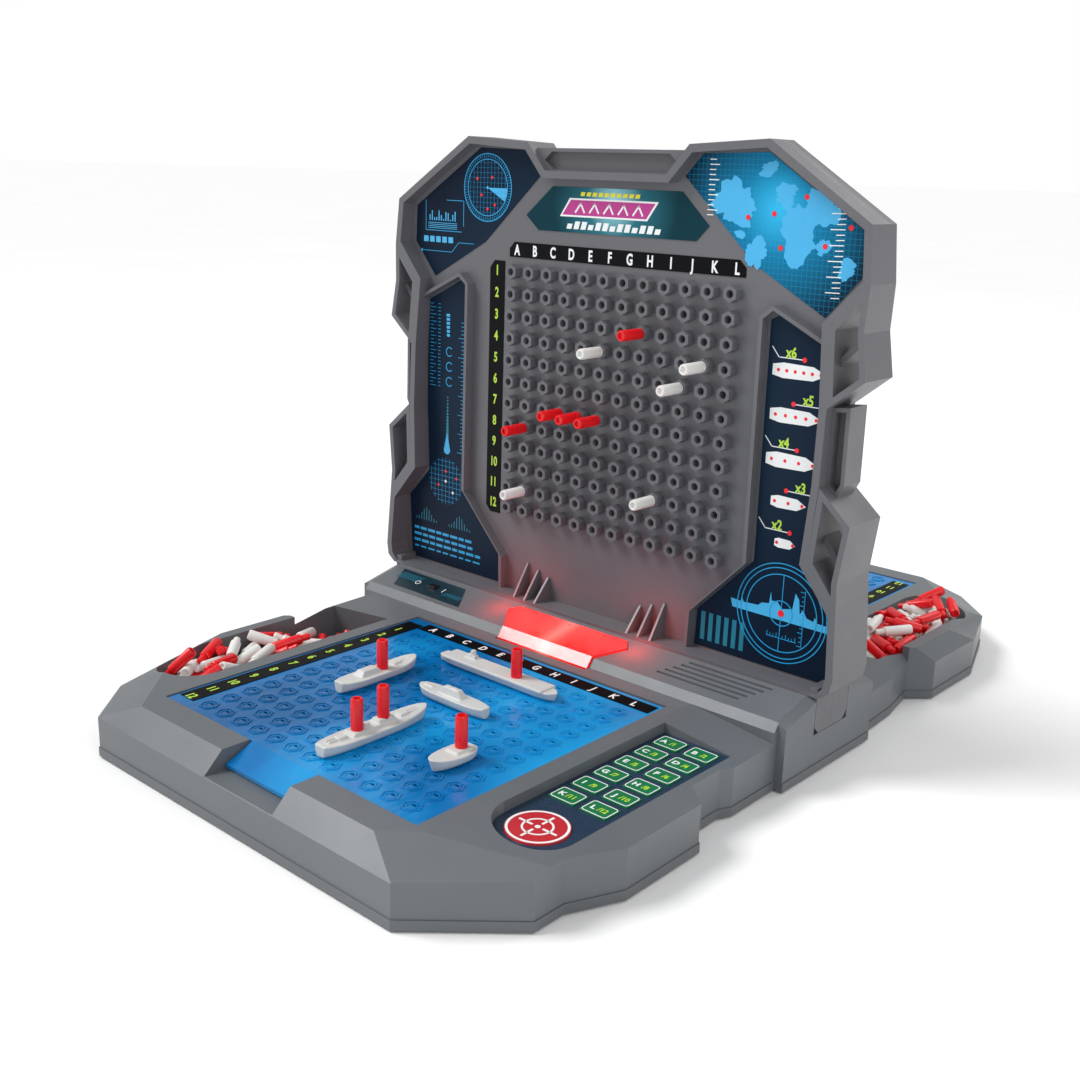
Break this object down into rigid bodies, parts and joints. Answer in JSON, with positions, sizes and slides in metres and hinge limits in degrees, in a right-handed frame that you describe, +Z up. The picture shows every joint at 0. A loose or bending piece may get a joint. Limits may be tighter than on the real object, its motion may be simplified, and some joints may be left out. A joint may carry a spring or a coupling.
{
  "type": "two-player fleet guessing game case",
  "caption": "Two-wing tabletop guessing game case with ocean-grid lids, push keys, peg trays, a console and a lift-off upright double target wall with peg sockets.",
  "frame": {"origin": "centre of the base on the surface it stands on", "axes": "+X to the front player's right, +Y away from the front player, +Z up"},
  "size_m": [0.284, 0.445, 0.268],
  "materials": {
    "shell": "fine-grained satin moulded plastic",
    "cover": "satin moulded plastic",
    "panel": "satin moulded plastic",
    "lid": "clear blue moulded plastic",
    "strip": "printed film",
    "label": "printed gloss sticker",
    "lens": "clear red moulded plastic",
    "led": "lamp dome",
    "board": "solder-masked board",
    "speaker": "paper cone in a steel frame",
    "contact": "plated spring steel",
    "battery": "wrapped cell",
    "screw": "zinc plated",
    "rubber": "soft pad",
    "switch": "satin",
    "overlay": "printed film",
    "wire": "insulated ribbon",
    "red_peg": "moulded",
    "white_peg": "moulded",
    "ship": "moulded",
    "key": "printed key cap",
    "fire": "printed key cap"
  },
  "bodies": {
    "root": {"top_shell": "shell", "bottom_cover": "cover", "beacon_lenses": "lens", "beacon_leds": "led", "circuit_board": "board", "speaker": "speaker", "battery_contacts": "contact", "batteries": "battery", "battery_door": "cover", "case_screws": "screw", "rubber_feet": "rubber", "power_switch_body": "switch", "keypad_overlays": "overlay", "keypad_circuits": "board", "wiring": "wire", "tray_red_pegs": "red_peg", "tray_white_pegs": "white_peg"},
    "front_lid": {"front_ocean_lid": "lid", "front_lid_strips": "strip"},
    "rear_lid": {"rear_ocean_lid": "lid", "rear_lid_strips": "strip"},
    "target_wall": {"front_target_panel": "panel", "rear_target_panel": "panel", "panel_labels": "label", "panel_screws": "screw", "wall_red_pegs": "red_peg", "wall_white_pegs": "white_peg"},
    "switch_knob": {"power_switch_knob": "switch"},
    "front_fleet": {"carrier_ship": "ship", "battleship": "ship", "cruiser_ship": "ship", "submarine_ship": "ship", "patrol_ship": "ship", "ship_pegs": "red_peg"},
    "front_fire": {"front_fire_button": "fire"},
    "rear_fire": {"rear_fire_button": "fire"},
    "front_key_1": {"front_key_1": "key"},
    "front_key_2": {"front_key_2": "key"},
    "front_key_3": {"front_key_3": "key"},
    "front_key_4": {"front_key_4": "key"},
    "front_key_5": {"front_key_5": "key"},
    "front_key_6": {"front_key_6": "key"},
    "front_key_7": {"front_key_7": "key"},
    "front_key_8": {"front_key_8": "key"},
    "front_key_9": {"front_key_9": "key"},
    "front_key_10": {"front_key_10": "key"},
    "front_key_11": {"front_key_11": "key"},
    "front_key_12": {"front_key_12": "key"},
    "rear_key_1": {"rear_key_1": "key"},
    "rear_key_2": {"rear_key_2": "key"},
    "rear_key_3": {"rear_key_3": "key"},
    "rear_key_4": {"rear_key_4": "key"},
    "rear_key_5": {"rear_key_5": "key"},
    "rear_key_6": {"rear_key_6": "key"},
    "rear_key_7": {"rear_key_7": "key"},
    "rear_key_8": {"rear_key_8": "key"},
    "rear_key_9": {"rear_key_9": "key"},
    "rear_key_10": {"rear_key_10": "key"},
    "rear_key_11": {"rear_key_11": "key"},
    "rear_key_12": {"rear_key_12": "key"}
  },
  "joints": [
    {"name": "front_lid_hinge", "type": "hinge", "parent": "root", "child": "front_lid", "pos_m": [0, -0.053, 0.026], "axis": [-1, 0, 0], "range_deg": [0, 80]},
    {"name": "rear_lid_hinge", "type": "hinge", "parent": "root", "child": "rear_lid", "pos_m": [0, 0.053, 0.026], "axis": [1, 0, 0], "range_deg": [0, 80]},
    {"name": "target_wall_lift", "type": "slide", "parent": "root", "child": "target_wall", "axis": [0, 0, 1], "range_m": [0, 0.03]},
    {"name": "power_switch_slide", "type": "slide", "parent": "root", "child": "switch_knob", "axis": [1, 0, 0], "range_m": [-0.004, 0]},
    {"name": "front_fleet_lift", "type": "slide", "parent": "front_lid", "child": "front_fleet", "axis": [0, 0, 1], "range_m": [0, 0.02]},
    {"name": "front_key_1_press", "type": "slide", "parent": "root", "child": "front_key_1", "axis": [0, 0, -1], "range_m": [0, 0.0008], "stiffness_N_per_m": 500, "springref_m": -0.0005},
    {"name": "front_key_2_press", "type": "slide", "parent": "root", "child": "front_key_2", "axis": [0, 0, -1], "range_m": [0, 0.0008], "stiffness_N_per_m": 500, "springref_m": -0.0005},
    {"name": "front_key_3_press", "type": "slide", "parent": "root", "child": "front_key_3", "axis": [0, 0, -1], "range_m": [0, 0.0008], "stiffness_N_per_m": 500, "springref_m": -0.0005},
    {"name": "front_key_4_press", "type": "slide", "parent": "root", "child": "front_key_4", "axis": [0, 0, -1], "range_m": [0, 0.0008], "stiffness_N_per_m": 500, "springref_m": -0.0005},
    {"name": "front_key_5_press", "type": "slide", "parent": "root", "child": "front_key_5", "axis": [0, 0, -1], "range_m": [0, 0.0008], "stiffness_N_per_m": 500, "springref_m": -0.0005},
    {"name": "front_key_6_press", "type": "slide", "parent": "root", "child": "front_key_6", "axis": [0, 0, -1], "range_m": [0, 0.0008], "stiffness_N_per_m": 500, "springref_m": -0.0005},
    {"name": "front_key_7_press", "type": "slide", "parent": "root", "child": "front_key_7", "axis": [0, 0, -1], "range_m": [0, 0.0008], "stiffness_N_per_m": 500, "springref_m": -0.0005},
    {"name": "front_key_8_press", "type": "slide", "parent": "root", "child": "front_key_8", "axis": [0, 0, -1], "range_m": [0, 0.0008], "stiffness_N_per_m": 500, "springref_m": -0.0005},
    {"name": "front_key_9_press", "type": "slide", "parent": "root", "child": "front_key_9", "axis": [0, 0, -1], "range_m": [0, 0.0008], "stiffness_N_per_m": 500, "springref_m": -0.0005},
    {"name": "front_key_10_press", "type": "slide", "parent": "root", "child": "front_key_10", "axis": [0, 0, -1], "range_m": [0, 0.0008], "stiffness_N_per_m": 500, "springref_m": -0.0005},
    {"name": "front_key_11_press", "type": "slide", "parent": "root", "child": "front_key_11", "axis": [0, 0, -1], "range_m": [0, 0.0008], "stiffness_N_per_m": 500, "springref_m": -0.0005},
    {"name": "front_key_12_press", "type": "slide", "parent": "root", "child": "front_key_12", "axis": [0, 0, -1], "range_m": [0, 0.0008], "stiffness_N_per_m": 500, "springref_m": -0.0005},
    {"name": "front_fire_press", "type": "slide", "parent": "root", "child": "front_fire", "axis": [0, 0, -1], "range_m": [0, 0.0008], "stiffness_N_per_m": 500, "springref_m": -0.0005},
    {"name": "rear_key_1_press", "type": "slide", "parent": "root", "child": "rear_key_1", "axis": [0, 0, -1], "range_m": [0, 0.0008], "stiffness_N_per_m": 500, "springref_m": -0.0005},
    {"name": "rear_key_2_press", "type": "slide", "parent": "root", "child": "rear_key_2", "axis": [0, 0, -1], "range_m": [0, 0.0008], "stiffness_N_per_m": 500, "springref_m": -0.0005},
    {"name": "rear_key_3_press", "type": "slide", "parent": "root", "child": "rear_key_3", "axis": [0, 0, -1], "range_m": [0, 0.0008], "stiffness_N_per_m": 500, "springref_m": -0.0005},
    {"name": "rear_key_4_press", "type": "slide", "parent": "root", "child": "rear_key_4", "axis": [0, 0, -1], "range_m": [0, 0.0008], "stiffness_N_per_m": 500, "springref_m": -0.0005},
    {"name": "rear_key_5_press", "type": "slide", "parent": "root", "child": "rear_key_5", "axis": [0, 0, -1], "range_m": [0, 0.0008], "stiffness_N_per_m": 500, "springref_m": -0.0005},
    {"name": "rear_key_6_press", "type": "slide", "parent": "root", "child": "rear_key_6", "axis": [0, 0, -1], "range_m": [0, 0.0008], "stiffness_N_per_m": 500, "springref_m": -0.0005},
    {"name": "rear_key_7_press", "type": "slide", "parent": "root", "child": "rear_key_7", "axis": [0, 0, -1], "range_m": [0, 0.0008], "stiffness_N_per_m": 500, "springref_m": -0.0005},
    {"name": "rear_key_8_press", "type": "slide", "parent": "root", "child": "rear_key_8", "axis": [0, 0, -1], "range_m": [0, 0.0008], "stiffness_N_per_m": 500, "springref_m": -0.0005},
    {"name": "rear_key_9_press", "type": "slide", "parent": "root", "child": "rear_key_9", "axis": [0, 0, -1], "range_m": [0, 0.0008], "stiffness_N_per_m": 500, "springref_m": -0.0005},
    {"name": "rear_key_10_press", "type": "slide", "parent": "root", "child": "rear_key_10", "axis": [0, 0, -1], "range_m": [0, 0.0008], "stiffness_N_per_m": 500, "springref_m": -0.0005},
    {"name": "rear_key_11_press", "type": "slide", "parent": "root", "child": "rear_key_11", "axis": [0, 0, -1], "range_m": [0, 0.0008], "stiffness_N_per_m": 500, "springref_m": -0.0005},
    {"name": "rear_key_12_press", "type": "slide", "parent": "root", "child": "rear_key_12", "axis": [0, 0, -1], "range_m": [0, 0.0008], "stiffness_N_per_m": 500, "springref_m": -0.0005},
    {"name": "rear_fire_press", "type": "slide", "parent": "root", "child": "rear_fire", "axis": [0, 0, -1], "range_m": [0, 0.0008], "stiffness_N_per_m": 500, "springref_m": -0.0005}
  ]
}
